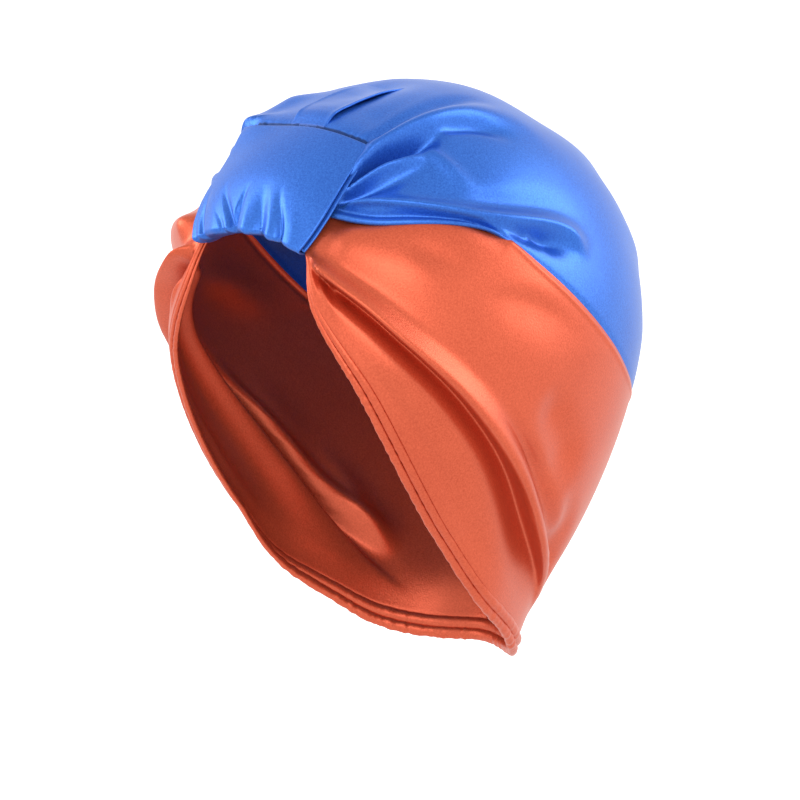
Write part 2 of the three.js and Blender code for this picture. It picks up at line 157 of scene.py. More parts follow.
PANEL_FOLDS = [Fold(*row) for row in [
    # the long fold from the tab to the nape: a roll with a groove behind it
    ("both", 7.2, 7.5, 2.8, 1.1, 0.35, 1.0, 0.1, 0.72,
     [(19.6, 25), (25.4, 22.2), (31.6, 18.4), (38.4, 13.9), (45, 8.2), (52, 2.2), (62, -7.6),
      (73, -20.2), (83, -31.4), (93, -42), (104, -50.6), (116, -57), (130, -63), (146, -67)]),
    ("both", -6.0, 4.2, 2.4, 0, 0.6, 1.2, 0.35, 0.75,
     [(70, -9), (76.8, -17.4), (84.6, -26.6), (93, -36), (104, -45.4), (114, -51.4), (126, -57),
      (136, -60)]),
    # the hollow under it, steep against the fold and wide towards the hem
    ("both", -7.2, 2.8, 7.0, 0, 0.3, 1.6, 0.03, 0.72,
     [(20.4, 23.4), (27.2, 19.4), (40, 10.4), (49.4, 2.2), (59.2, -7.2), (71.4, -21.4),
      (79, -31.2), (87, -41), (97, -50), (110, -57), (124, -62.5)]),
    # small pleats that fan out from under the tab
    ("left", 1.6, 1.3, 1.2, 0.3, 0.6, 1.5, 0.02, 0.5,
     [(21.2, 24.6), (22.6, 20.6), (23.9, 17.6), (25.6, 14.4), (28, 10)]),
    ("left", -1.8, 1.1, 1.1, 0, 0.6, 1.5, 0.02, 0.5, [(21.8, 24), (24.2, 18.6), (26.6, 14)]),
    ("left", 1.8, 1.4, 1.2, 0.3, 0.6, 1.6, 0.02, 0.5,
     [(22, 24), (24.2, 21), (26.3, 17.8), (28.4, 14.2), (31, 9)]),
    ("left", -1.8, 1.1, 1.1, 0, 0.6, 1.5, 0.02, 0.5, [(22.6, 23.4), (27, 18), (30, 13)]),
    ("left", 1.4, 1.4, 1.2, 0.2, 0.6, 1.7, 0.02, 0.5, [(23, 23.4), (28.6, 18), (33, 12)]),
    # the full brow over the long fold
    ("left", 1.8, 11, 10, 0, 0.8, 1.2, 0.2, 0.6, [(26, 29), (42, 24.5), (70, 14)]),
    ("left", -0.9, 4, 4, 0, 0.8, 1.4, 0.4, 0.5, [(46, 28.5), (56, 25.5), (64, 21)]),
    # broad soft hollows at the side
    ("left", -1.3, 5, 10, 0, 0.8, 1.3, 0.4, 0.5, [(62, 15), (76, 15), (89, 9.6), (104.6, -3)]),
    ("left", -3.4, 7, 9, 0, 0.7, 1.3, 0.3, 0.6, [(86, -8), (93, -18), (100.6, -28), (104, -40)]),
    ("both", -3.0, 6, 5, 0, 0.7, 1.2, 0.5, 0.7, [(106, -36), (116, -46), (124, -54), (134, -60)]),
    # along the hem
    ("both", 1.6, 3.0, 3, 0, 0.4, 1.5, 0.2, 0.8,
     [(29.6, 6.2), (40.6, -12.5), (54.2, -36), (78, -58), (102, -64.5)]),
    ("both", -1.4, 4, 3.6, 0, 0.4, 1.6, 0.2, 0.7,
     [(33, 5), (45.2, -12), (56.5, -30), (69, -49), (86, -58)]),
    # the wearer's right side
    ("right", 6.5, 7, 8, 0, 0.7, 1.3, 0.2, 0.6, [(26, 29), (42, 26), (70, 15)]),
    ("right", 2.0, 1.9, 1.6, 0.4, 0.6, 1.6, 0.1, 0.5, [(21.6, 24), (25.6, 16), (30, 8), (37, -2)]),
    ("right", -2.0, 1.6, 1.6, 0, 0.6, 1.6, 0.1, 0.5, [(22.4, 23), (27.8, 14), (34, 5), (41, -5)]),
    ("right", 2.0, 1.9, 1.8, 0.4, 0.6, 1.7, 0.1, 0.5, [(23, 23.5), (29.6, 15), (37, 6)]),
    ("right", -1.8, 8, 8, 0, 0.7, 1.2, 0.4, 0.5, [(62, 12), (80, 10), (104, -6)]),
    ("right", -2.0, 9, 9, 0, 0.7, 1.2, 0.4, 0.5, [(82, -14), (96, -32), (106, -46)]),
]]

# The flare at the nape, which the hem and the casing follow too; other folds die away there.
HEM_FOLDS = [Fold(*row) for row in [
    ("left", 6.5, 12, 15, 0, 1, 1, 0.12, 0.88,
     [(62, -46), (92, -66), (128, -71), (180, -70), (232, -71), (268, -66), (298, -46)]),
]]
HANG = 0.8  # how nearly straight down the rolls hang at the nape
NAPE_GROWTH = 0.38  # how much fuller the rolls are there
HANG_STATIONS, GROWTH_STATIONS = (3.9, 5.0), (4.2, 5.2)  # where the two come in
# Distance from the hem over which the other folds rise, at the tab and from the temple on.
HEM_REACH = (5.5, 9.0)

FOLD_STEPS = 36  # segments of a fold's crest
EMERGE = (-2.0, 2.5)  # degrees past the tab's edge over which the folds rise

# The crown's lip over the side panels: how deep the panels lie under it, and the stations
# between which it begins and fades out.
LIP_SINK = 4.0
LIP_SINK_REACH = 6.5
LIP_START = (0.6, 1.4)
LIP_FADE = (3.0, 3.5)

# Ridges and grooves along the seams: height, distance from the edge, and half width.
LIP_BEAD = (0.4, 0.8, 0.9)
LIP_GROOVE = (-2.0, 3.4, 1.6)
PANEL_RIDGE = (0.4, 2.2, 1.1)
SEAM_GROOVE = (-0.35, 0.0, 1.6)
TAB_SEAM_GROOVE = (-1.2, 0.2, 0.6)
TAB_SEAM_DIP = (-1.3, 0.0, 0.6)
WELT_RISE = 1.4  # how far the crown rises to the tab at its seam

# The box pleat on the middle line behind the tab: half width at the tab, its growth for each
# degree over the forehead, rise, the angles it runs through and where it begins to flatten.
PLEAT_HALF_WIDTH = 8.4
PLEAT_SPREAD = 0.06
PLEAT_RISE = 1.6
PLEAT_START, PLEAT_FADE, PLEAT_END = 57.2, 74.0, 94.0

# The tab: elevations of its seam and of its fold in the middle and their droop at the edges,
# its heights off the cloth beneath, and the length tucked up inside.
TAB_SEAM_ELEVATION, TAB_FOLD_ELEVATION = 59.2, 28.6
TAB_SEAM_DROOP, TAB_FOLD_DROOP = 5.0, 4.0
TAB_SEAM_END = 33  # azimuth at which the seam has drooped that far
TAB_SEAM_LIFT, TAB_LIFT, TAB_INSIDE, TAB_TUCK = 1.6, 4.2, 8.4, 15.0
TAB_TURN = 2.6  # how far the turn at the tab's fold reaches down
TAB_SKEW = 6.0  # how much higher the turn ends inside than it begins outside
# How far its upper corner on the wearer's right stands off, at which azimuth and how wide in
# degrees, and how high in mm.
TAB_CORNER, TAB_CORNER_HEIGHT = (4.0, -36, 15), 13
SQUEEZE_LEFT, SQUEEZE_RIGHT = 1.5, 4.5  # how far the crown is drawn in beside the tab
# Azimuths of its two edges at even steps from the seam down to the fold.
TAB_EDGES = {
    "right": [-33.0, -29.5, -26.8, -25.0, -24.2, -22.5, -18.5],
    "left": [33.5, 30.8, 28.6, 26.6, 24.6, 22.0, 18.8],
}

# Gathers of the tab's lower edge: the place across it (-1 to 1, the wearer's left positive)
# at the fold and at the upper end, how far up it reaches, half width, and height in mm.
Gather = namedtuple("Gather", "low high reach width height")
GATHERS = [
    Gather(-0.93, -0.97, 0.44, 0.04, -0.7),
    Gather(-0.80, -0.90, 0.46, 0.05, -2.0),
    Gather(-0.52, -0.76, 0.50, 0.13, 0.9),
    Gather(-0.34, -0.70, 0.34, 0.035, -0.8),
    Gather(-0.18, -0.60, 0.46, 0.05, -3.4),
    Gather(-0.12, -0.18, 0.44, 0.035, -3.4),
    Gather(0.06, -0.06, 0.40, 0.08, 1.2),
    Gather(0.32, 0.10, 0.46, 0.085, -2.8),
    Gather(0.50, 0.22, 0.42, 0.07, 1.0),
    Gather(0.68, 0.34, 0.44, 0.045, -2.8),
    Gather(0.86, 0.62, 0.36, 0.08, 0.6),
]


# ---- Numbers ----


def smooth(x, low, high):
    """Smoothstep: 0 up to low, 1 from high on, and 3 t^2 - 2 t^3 between them."""
    t = np.clip((x - low) / (high - low), 0, 1)
    return t * t * (3 - 2 * t)


def mix(a, b, share):
    return a + (b - a) * share


def bell(x):
    return np.exp(-(x**2))


def ridge(distance, height, place, half_width):
    """A ridge, or a groove where its height is negative, at a place across a seam."""
    return height * bell((distance - place) / half_width)


def unit(v):
    return v / np.linalg.norm(v, axis=-1, keepdims=True)


def direction(azimuth, elevation):
    """Unit vector at an azimuth from the face and an elevation, in degrees."""
    a, e = np.radians(azimuth), np.radians(elevation)
    return np.stack([np.sin(a) * np.cos(e), -np.cos(a) * np.cos(e), np.sin(e)], axis=-1)


def form_radius(d):
    """Radius of the cap's smooth outer form along unit directions.

    A level superellipse, (x / side)^n + (y / length)^n, is joined to the height by a second
    one, whose power changes from the forehead to the back of the head.
    """
    x, y, z = np.moveaxis(d, -1, 0)
    length = np.where(y < 0, HALF_FRONT, HALF_BACK)
    height = np.where(z > 0, HALF_UP, HALF_DOWN)
    backwards = 0.5 + 0.5 * y / np.maximum(np.hypot(x, y), 1e-6)
    power = np.where(z > 0, mix(FOREHEAD_POWER, BACK_POWER, backwards), BELOW_POWER)
    level = (np.abs(x) / HALF_SIDE) ** LEVEL_POWER + (np.abs(y) / length) ** LEVEL_POWER
    level = level ** (1 / LEVEL_POWER)
    return (level**power + (np.abs(z) / height) ** power) ** (-1 / power)


def on_form(d, height=0.0):
    """Points that stand at a height above the smooth form along unit directions."""
    r = form_radius(d) + height
    return d * r[..., None] - TO_CENTRE


def curve_through(points, shares):
    """Points at shares 0 to 1 of a centripetal Catmull-Rom curve through rows of points.

    Each step between two rows has an equal part of the share, and both ends are carried on
    straight. Between rows 1 and 2 the curve is the cubic that meets them with the slopes
    (p1 - p0) / d0 - (p2 - p0) / (d0 + d1) + (p2 - p1) / d1 and its mirror.
    """
    before = 2 * points[:1] - points[1:2]
    after = 2 * points[-1:] - points[-2:-1]
    rows = np.concatenate([before, points, after])
    steps = np.sqrt(np.linalg.norm(np.diff(rows, axis=0), axis=-1, keepdims=True))
    steps = np.maximum(steps, 1e-3)
    place = np.clip(shares, 0, 1) * (len(points) - 1)
    i = np.minimum(place.astype(int), len(points) - 2)
    u = (place - i).reshape((-1,) + (1,) * (points.ndim - 1))
    p0, p1, p2, p3 = (rows[i + k] for k in range(4))
    d0, d1, d2 = (steps[i + k] for k in range(3))
    slope1 = ((p1 - p0) / d0 - (p2 - p0) / (d0 + d1) + (p2 - p1) / d1) * d1
    slope2 = ((p2 - p1) / d1 - (p3 - p1) / (d1 + d2) + (p3 - p2) / d2) * d1
    square = -3 * p1 + 3 * p2 - 2 * slope1 - slope2
    cube = 2 * p1 - 2 * p2 + slope1 + slope2
    return p1 + u * (slope1 + u * (square + u * cube))


def cloth_line(name, stations):
    """Directions along a named line of the cloth. The line is carried on, mirrored, round the
    wearer's right side, so that it passes the middle of the back straight."""
    left = direction(*np.array(LINES[name], float).T)
    right = left[-2::-1] * [-1, 1, 1]
    d = curve_through(np.concatenate([left, right]), stations / (2 * LAST))
    d[:, 0] = np.where((stations == 0) | (stations == LAST), 0, d[:, 0])
    return unit(d)


def cloth_grid(names, shares, stations):
    """Directions on a grid whose rows run between the named lines, on smooth curves through
    them all, and whose columns are the stations."""
    lines = np.stack([cloth_line(name, stations) for name in names])
    d = curve_through(lines, shares)
    d[:, (stations == 0) | (stations == LAST), 0] = 0
    return unit(d)


def even_stations(name, count):
    """Stations with equal steps of length along a named line."""
    fine = np.linspace(0, LAST, 1201)
    steps = np.linalg.norm(np.diff(on_form(cloth_line(name, fine)), axis=0), axis=-1)
    run = np.concatenate([[0], np.cumsum(steps)])
    stations = np.interp(np.linspace(0, run[-1], count + 1), run, fine)
    stations[-1] = LAST
    return stations


def move_up(d, distance):
    """Directions moved by a distance on the surface, towards the head's top."""
    up = unit(np.array([0, 0, 1.0]) - d * d[..., 2:])
    return unit(d + up * np.asarray(distance / form_radius(d))[..., None])


# ---- Relief ----


def crests(folds):
    """Pairs of a fold and its crest's points, once for each side that it lies on."""
    pairs = []
    for fold in folds:
        through = direction(*np.array(fold.through, float).T)
        crest = on_form(unit(curve_through(through, np.linspace(0, 1, FOLD_STEPS + 1))))
        if fold.side != "right":
            pairs.append((fold, crest, 1))
        if fold.side != "left":
            pairs.append((fold, crest * [-1, 1, 1], -1))
    return pairs


def near_crest(crest, points):
    """Distance of points from a crest, the share of its length at the nearest place, the vector
    from there to the point, and the crest's segment. Every segment is tried for every point."""
    start = crest[:-1]
    along = np.diff(crest, axis=0)
    square = np.sum(along**2, axis=-1)
    reach = points @ along.T - np.sum(start * along, axis=-1)
    share = np.clip(reach / square, 0, 1)
    far = np.sum(points**2, axis=-1)[:, None] - 2 * points @ start.T + np.sum(start**2, axis=-1)
    gap = far - 2 * share * reach + share**2 * square
    best = np.argmin(gap, axis=-1)
    row = np.arange(len(points))
    share = share[row, best]
    nearest = start[best] + along[best] * share[:, None]
    out = points - nearest
    gap = np.linalg.norm(out, axis=-1)
    return gap, (best + share) / len(along), out, along[best]


def fold_offset(fold, crest, hand, points):
    """Height that one fold adds, and how far it pushes the cloth sideways.

    The height is the fold's height, mixed into its end height, times a bell of the distance
    over the width; the push is lean and the steep width times the same bell.
    """
    gap, share, out, along = near_crest(crest, points)
    outward = unit(points + TO_CENTRE)
    across = unit(np.cross(outward, along)) * hand
    side = np.sum(across * out, axis=-1)
    scale = mix(fold.begin, fold.finish, share)
    width = scale * np.where(side > 0, fold.broad, fold.steep)
    swell = smooth(share, -0.02, fold.swell)
    fade = smooth(share, fold.fade, 1)
    rise = swell * mix(fold.height, fold.end, fade) * bell(gap / width)
    push = swell * fold.lean * scale * fold.steep * (1 - fade) * bell(gap / width)
    return rise, -across * push[:, None]


def angles(d):
    """Azimuth and elevation of unit directions, in degrees."""
    return np.degrees(np.arctan2(d[..., 0], -d[..., 1])), np.degrees(np.arcsin(d[..., 2]))


def tab_edge(side, down):
    """Azimuth of the tab's left or right edge, down from 0 at its seam to 1 at its fold."""
    places = np.array(TAB_EDGES[side])[:, None]
    return curve_through(places, np.ravel(down))[:, 0].reshape(np.shape(down))


def past_tab_edges(d):
    """Degrees of azimuth by which directions lie past the tab's left and its right edge."""
    azimuth, elevation = angles(d)
    down = (TAB_SEAM_ELEVATION - elevation) / (TAB_SEAM_ELEVATION - TAB_FOLD_ELEVATION)
    return azimuth - tab_edge("left", down), tab_edge("right", down) - azimuth


def degrees_above_seam(d):
    """Degrees by which directions lie above the tab's seam, which droops towards its ends."""
    azimuth, elevation = angles(d)
    return elevation - TAB_SEAM_ELEVATION + TAB_SEAM_DROOP * (azimuth / TAB_SEAM_END) ** 2


def above_seam(d):
    """Distance of directions above the tab's seam, in mm."""
    return np.radians(degrees_above_seam(d)) * form_radius(d)


def clear_of_tab(d):
    """How far directions are clear of the tab, from 0 under it to 1."""
    past = np.maximum(*past_tab_edges(d))
    return np.maximum(smooth(past, *EMERGE), smooth(degrees_above_seam(d), *EMERGE))


def welt(d):
    """The crown's rise to the level of the tab at its seam, which dies away above it."""
    azimuth, _ = angles(d)
    above = above_seam(d)
    inside = 1 - smooth(np.abs(azimuth), 30, 37)
    rise = WELT_RISE * smooth(above, -5, 1.5) * (1 - smooth(above, 4, 18))
    return inside * (rise + ridge(above, *TAB_SEAM_GROOVE))


def relief(d, own, others=(), shared=0.0):
    """Height and sideways push of the folds along unit directions: a piece's own folds, and
    those of the piece it is sewn to where shared is 1."""
    points = on_form(d).reshape(-1, 3)
    height = np.zeros(len(points))
    push = np.zeros((len(points), 3))
    shared = np.broadcast_to(shared, d.shape[:-1]).ravel()
    for folds, weight in ((own, 1.0), (others, shared)):
        for fold, crest, hand in folds:
            rise, shift = fold_offset(fold, crest, hand, points)
            height += weight * rise
            push += np.reshape(weight, (-1, 1)) * shift
    emerged = clear_of_tab(d)
    return emerged * height.reshape(d.shape[:-1]), emerged[..., None] * push.reshape(d.shape)


def squeeze(d):
    """How far the crown is drawn in beside the tab, more on the wearer's right."""
    _, elevation = angles(d)
    left, right = past_tab_edges(d)
    drawn = SQUEEZE_LEFT * (1 - smooth(left, 0, 14)) * smooth(left, -4, 0)
    drawn = drawn + SQUEEZE_RIGHT * (1 - smooth(right, 10, 40)) * smooth(right, -4, 0)
    return drawn * (1 - smooth(above_seam(d), -5, 5)) * smooth(elevation, 34, 42)


def lip_share(stations):
    """1 where the crown's lip hangs over the side panels, 0 under the tab and behind the ear."""
    return smooth(stations, *LIP_START) * (1 - smooth(stations, *LIP_FADE))


# ---- Mesh ----


def shell(outer, inward, thickness, round_last=True, steps=6):
    """Rows of a sheet's whole skin: its inner side backwards, a rounded first edge, its outer
    side, and a rounded last edge where that is asked. An edge is half a circle as wide as the
    sheet is thick."""
    radius = thickness / 2
    turn = np.linspace(0, np.pi, steps + 1)[1:-1, None, None]
    away = unit(outer[0] - outer[1])
    middle = outer[0] + inward[0] * radius
    first = middle + radius * (np.cos(turn) * inward[0] + np.sin(turn) * away)
    parts = [(outer + inward * thickness)[::-1], first, outer]
    if round_last:
        away = unit(outer[-1] - outer[-2])
        middle = outer[-1] + inward[-1] * radius
        parts.append(middle + radius * (np.sin(turn) * away - np.cos(turn) * inward[-1]))
    return np.concatenate(parts)


def quads(rows, columns, ring_rows=False, ring_columns=False):
    """Corner numbers of a grid's faces, closed into a ring where that is asked."""
    i = np.arange(rows if ring_rows else rows - 1)
    j = np.arange(columns if ring_columns else columns - 1)
    i, j = np.meshgrid(i, j, indexing="ij")
    k, m = (i + 1) % rows, (j + 1) % columns
    corners = [i * columns + j, i * columns + m, k * columns + m, k * columns + j]
    return np.stack(corners, axis=-1).reshape(-1, 4)


def closed_strip(outer, inward, thickness):
    """A strip's whole skin with both long edges rounded. Each end is closed by laying its
    section flat on the sheet's middle."""
    skin = shell(outer, inward, thickness)
    middle = outer + inward * thickness / 2
    edge = (len(skin) - 2 * len(outer)) // 2
    for end in (0, -1):
        line = middle[:, end]
        first, last = np.repeat(line[:1], edge, axis=0), np.repeat(line[-1:], edge, axis=0)
        skin[:, end] = np.concatenate([line[::-1], first, line, last])
    return [(skin, quads(*skin.shape[:2], ring_rows=True))]


def add_object(name, data, place=None, aim=None):
    """A new object in the scene, or one at a place that looks towards its aim."""
    thing = bpy.data.objects.new(name, data)
    if aim is not None:
        thing.location = place
        thing.rotation_euler = (aim - place).to_track_quat("-Z", "Y").to_euler()
    bpy.context.scene.collection.objects.link(thing)
    return thing


def make_piece(name, parts):
    """One closed object from grids of points in mm, each with its faces. Points that fall
    together are merged, and the faces are then turned outwards. Each point is given its
    distance above the tab's seam, in mm, and 1 across the tab, where a painted shade darkens
    the seam."""
    points = np.concatenate([grid.reshape(-1, 3) for grid, _ in parts]) * MM
    starts = np.cumsum([0] + [grid.size // 3 for grid, _ in parts[:-1]])
    faces = np.concatenate([corners + start for (_, corners), start in zip(parts, starts)])
    mesh = bpy.data.meshes.new(name)
    mesh.from_pydata(points.tolist(), [], faces.tolist())
    work = bmesh.new()
    work.from_mesh(mesh)
    bmesh.ops.remove_doubles(work, verts=work.verts, dist=1e-6)
    bmesh.ops.dissolve_degenerate(work, edges=work.edges, dist=1e-7)
    bmesh.ops.recalc_face_normals(work, faces=work.faces)
    work.to_mesh(mesh)
    work.free()
    places = np.empty(len(mesh.vertices) * 3)
    mesh.vertices.foreach_get("co", places)
    d = unit(places.reshape(-1, 3) / MM + TO_CENTRE)
    across = 1 - smooth(np.abs(angles(d)[0]), 32, 35)
    for label, values in (("above_seam", above_seam(d)), ("across_tab", across)):
        mesh.attributes.new(label, "FLOAT", "POINT").data.foreach_set("value", values)
    mesh.polygons.foreach_set("use_smooth", np.ones(len(mesh.polygons), bool))
    mesh.update()
    return add_object(name, mesh)


# ---- Shapes ----

# Where the rows lie closer: a share of the crown from its lip, and of a panel from its seam.
LIP_SHARE, LIP_ROWS = 0.12, 21
SEAM_SHARE, SEAM_ROWS = 0.1, 25


def radial(points):
    """Unit vectors from points in mm to the head's centre."""
    return -unit(points + TO_CENTRE)


def crown_skin(thickness, columns=170, rows=104):
    """Half of the crown on the wearer's left, then the right half, as closed sections.

    Rows run from the lip over the side panels to the middle line, columns from the forehead
    to the back. A bead and a groove run along the lip where it is free.
    """
    names = ["lip", "temple", "side", "shoulder", "pleat", "top"]
    stations = even_stations("lip", columns)
    fine = np.linspace(0, LIP_SHARE, LIP_ROWS + 1)[:-1]
    shares = np.concatenate([fine, np.linspace(LIP_SHARE, 1, rows - LIP_ROWS)])
    own, others = crests(CROWN_FOLDS), crests(PANEL_FOLDS)
    rear = smooth(stations, *LIP_FADE)
    free = lip_share(stations)
    parts = []
    for hand in (1, -1):
        d = cloth_grid(names, shares, stations)
        d = move_up(d, -0.1 * (1 - smooth(shares, 0, 0.2))[:, None])
        d = d * [hand, 1, 1]
        edge = on_form(d[:1])
        run = np.linalg.norm(on_form(d) - edge, axis=-1)
        height, push = relief(d, own, others, rear)
        height = height + relief(d, crests(HEM_FOLDS))[0]
        bead = free * (ridge(run, *LIP_BEAD) + ridge(run, *LIP_GROOVE))
        joint = (1 - free) * clear_of_tab(d) * ridge(run, *SEAM_GROOVE)
        height = height + welt(d) + corner_rise(d) - squeeze(d)
        outer = on_form(d, height + bead + joint) + push
        skin = shell(outer, radial(outer), thickness, round_last=False)
        parts.append((skin, quads(*skin.shape[:2])))
    return parts


def panel_skin(hand, thickness, columns=230, rows=110):
    """A side panel, on the wearer's left for hand 1 and right for hand -1.

    Rows run from the hem to the seam with the crown, columns from under the tab to the back.
    The panel sinks under the crown's lip, and a ridge runs along its seam where that shows.
    """
    names = ["hem", "crease", "fold", "cheek", "seam"]
    stations = even_stations("cheek", columns)
    stations[-2] = LAST - 0.004  # keeps the groove between the two panels thin
    fine = np.linspace(1 - SEAM_SHARE, 1, SEAM_ROWS + 1)[1:]
    shares = np.concatenate([np.linspace(0, 1 - SEAM_SHARE, rows - SEAM_ROWS), fine])
    own, others = crests(PANEL_FOLDS), crests(CROWN_FOLDS)
    rear = smooth(stations, *LIP_FADE)
    free = lip_share(stations)
    d = cloth_grid(names, shares, stations)
    d = move_up(d, (0.1 * smooth(shares, 0.6, 1))[:, None]) * [hand, 1, 1]
    to_seam = np.linalg.norm(on_form(d) - on_form(d[-1:]), axis=-1)
    from_hem = np.linalg.norm(on_form(d) - on_form(d[:1]), axis=-1)
    sink = LIP_SINK * np.sqrt(free) * bell(to_seam / LIP_SINK_REACH)
    height, push = relief(d, own, others, rear)
    risen = smooth(from_hem / mix(*HEM_REACH, smooth(stations, 1.4, 2.6)), 0.08, 1)
    flare, _ = relief(d, crests(HEM_FOLDS))
    height, push = risen * height + flare, risen[..., None] * push
    seam = rear * (ridge(to_seam, *PANEL_RIDGE) + ridge(to_seam, *SEAM_GROOVE))
    outer = on_form(d, height + seam - sink) + push
    skin, faces = closed_strip(outer, radial(outer), thickness)[0]
    skin[:, -1, 0] = 0
    return [(skin, faces)]


def roll_skin(half_width, half_thickness, below, depth, puckers, columns=420, sides=20):
    """A soft roll all round the opening: an oval section carried along the hem.

    The section's points lie half_width * cos(turn) below the panel's edge and half_thickness *
    sin(turn) off it. It runs on along the cloth in front and hangs straight down at the nape.
    It shrinks under the tab, and small puckers swell and narrow it along its length.
    """
    stations = even_stations("hem", columns)
    here = cloth_line("hem", stations)
    ahead = cloth_line("hem", np.minimum(stations + 0.02, LAST))
    behind = cloth_line("hem", np.maximum(stations - 0.02, 0))
    along = unit(ahead - behind)
    along[0], along[-1] = (1, 0, 0), (-1, 0, 0)
    hang = smooth(stations, *HANG_STATIONS)[:, None]
    down = unit(mix(np.cross(along, here), [0, 0, -1.0], HANG * hang))
    out = unit(here - down * np.sum(here * down, axis=-1, keepdims=True))
    grown = 1 + NAPE_GROWTH * smooth(stations, *GROWTH_STATIONS)
    size = mix(0.36, 1, smooth(stations, 1.0, 3.6)) * grown
    place = below * smooth(stations, 0.8, 3.4) * grown
    height, _ = relief(here, crests(HEM_FOLDS))
    turn = np.linspace(0, 2 * np.pi, sides, endpoint=False)[None, :]
    parts = []
    for hand in (1, -1):
        length = stations * 40
        wave = np.sin(1.3 * length + 2.1 * np.sin(0.41 * length) + hand)
        wave = wave + 0.5 * np.sin(2.9 * length + 1.3 * np.sin(0.7 * length))
        even = smooth(stations, 0.8, 2) * (1 - smooth(stations, 5.8, 6))
        swell = size * (1 + puckers * wave * even)
        reach = place[:, None] + swell[:, None] * half_width * np.cos(turn)
        lift = swell[:, None] * half_thickness * np.sin(turn)
        centre = on_form(here, height - depth)[:, None]
        skin = centre + down[:, None] * reach[..., None] + out[:, None] * lift[..., None]
        skin[0, :, 0] = skin[-1, :, 0] = 0
        parts.append((skin * [hand, 1, 1], quads(*skin.shape[:2], ring_columns=True)))
    return parts


def tab_path():
    """The tab's path as runs down the cloth and heights off it: down over the forehead, half a
    turn round the hem, and up inside. Also the length of its leg and the rows outside."""
    leg = np.radians(TAB_SEAM_ELEVATION - TAB_FOLD_ELEVATION) * form_radius(direction(0, 42))
    radius = (TAB_LIFT + TAB_INSIDE) / 2
    straight = leg - TAB_TURN
    share = np.linspace(0, 1, 71)[:-1] ** 1.25
    rise = mix(TAB_SEAM_LIFT, TAB_LIFT, smooth(share, -0.3, 0.75))
    rise = rise + ridge(share * straight, *TAB_SEAM_DIP)
    over = np.stack([share * straight, rise], axis=-1)
    turn = np.linspace(0, np.pi, 41)
    middle = (TAB_LIFT - TAB_INSIDE) / 2
    reach = TAB_TURN * np.sin(turn) ** 0.8 - TAB_SKEW * (0.5 - 0.5 * np.cos(turn)) ** 1.3
    bend = np.stack([straight + reach, middle + radius * np.cos(turn)], axis=-1)
    tuck = straight - TAB_SKEW - TAB_TUCK * np.linspace(0, 1, 13)[1:]
    inside = np.stack([tuck, np.full(12, -TAB_INSIDE)], axis=-1)
    return leg, np.concatenate([over, bend, inside]), len(over)


def corner_rise(d):
    """How far the cloth stands off at the tab's upper corner on the wearer's right."""
    azimuth, _ = angles(d)
    return ridge(azimuth, *TAB_CORNER) * bell(above_seam(d) / TAB_CORNER_HEIGHT)


def tab_skin(thickness, low=-1.0, high=1.0, drop=0.0, gathered=1.0, columns=170):
    """The tab: its path carried across the forehead, with gathers that run up from its fold.

    Each gather adds its height times a bell across it, and grows from its reach to the fold.
    A part of the tab from low to high across it may lie deeper by drop, as its facing does.
    """
    leg, path, over = tab_path()
    degrees = TAB_SEAM_ELEVATION - TAB_FOLD_ELEVATION
    run, height = path[:, :1], path[:, 1:]
    slope = unit(np.gradient(path, axis=0))
    across = np.linspace(low, high, columns + 1)[None, :]
    down = np.minimum(run / leg, 1)
    row = np.arange(len(path))[:, None]
    inner = gathered * (1 - 0.8 * smooth(row, over, over + 22))
    flutes = 0
    for gather in GATHERS:
        grown = smooth(down, 1 - gather.reach, 1.1)
        place = mix(gather.high, gather.low, smooth(down, 1 - gather.reach, 1))
        flutes = flutes + gather.height * grown * bell((across - place) / gather.width)
    right, left = tab_edge("right", down), tab_edge("left", down)
    azimuth = mix(right, left, (across + 1) / 2)
    droop = mix(TAB_SEAM_DROOP, TAB_FOLD_DROOP, down) * across**2
    normal_run, normal_height = -slope[:, 1:], slope[:, :1]

    def at(depth):
        lift = height + normal_height * (inner * flutes - drop - depth)
        reach = run + normal_run * (inner * flutes - drop - depth)
        elevation = TAB_SEAM_ELEVATION - droop - reach / leg * degrees
        d = direction(azimuth, elevation)
        return on_form(d, lift + corner_rise(d))

    outer, lower = at(0.0), at(thickness)
    inward = unit(lower - outer)
    return closed_strip(outer.transpose(1, 0, 2), inward.transpose(1, 0, 2), thickness)


def pleat_skin(thickness, columns=150, rows=48):
    """The box pleat: a strip over the middle line from the tab's seam, where it is sewn flat,
    to the top of the head, where it sinks into the crown. Its folded edges are thicker."""
    angle = np.linspace(PLEAT_START, PLEAT_END, columns + 1)[None, :]
    across = np.linspace(-1, 1, rows + 1)[:, None]
    half_width = PLEAT_HALF_WIDTH + PLEAT_SPREAD * (angle - PLEAT_START)
    x = across * half_width / 94
    forward, up = np.cos(np.radians(angle)), np.sin(np.radians(angle))
    d = unit(np.stack([x, -forward + 0 * x, up + 0 * x], axis=-1))
    edge = 0.35 * bell((1 - np.abs(across)) * half_width / 1.2)
    level = 1 - 1.6 * smooth(angle, PLEAT_FADE, PLEAT_END)
    above = above_seam(d)
    sewn = mix(-0.1, PLEAT_RISE + edge, smooth(above, 0, 9))
    height, _ = relief(d, crests(CROWN_FOLDS))
    outer = on_form(d, height + welt(d) + sewn * level - 3 * (1 - smooth(above, -1.7, -0.5)))
    return closed_strip(outer, radial(outer), thickness)


# ---- Materials ----

# The painted shade at the tab's seam, a dark line in the satin's colour that stands in for the
# shadow there: its middle, in mm above the seam, the squares of the distance between which it
# fades, its strength, and its shade as a share of the deep dye.
PAINTED_SEAM_SHADE_PLACE, PAINTED_SEAM_SHADE_FADE = 0.4, (0.3, 1.8)
PAINTED_SEAM_SHADE_STRENGTH, PAINTED_SEAM_SHADE_TONE = 0.85, 0.2


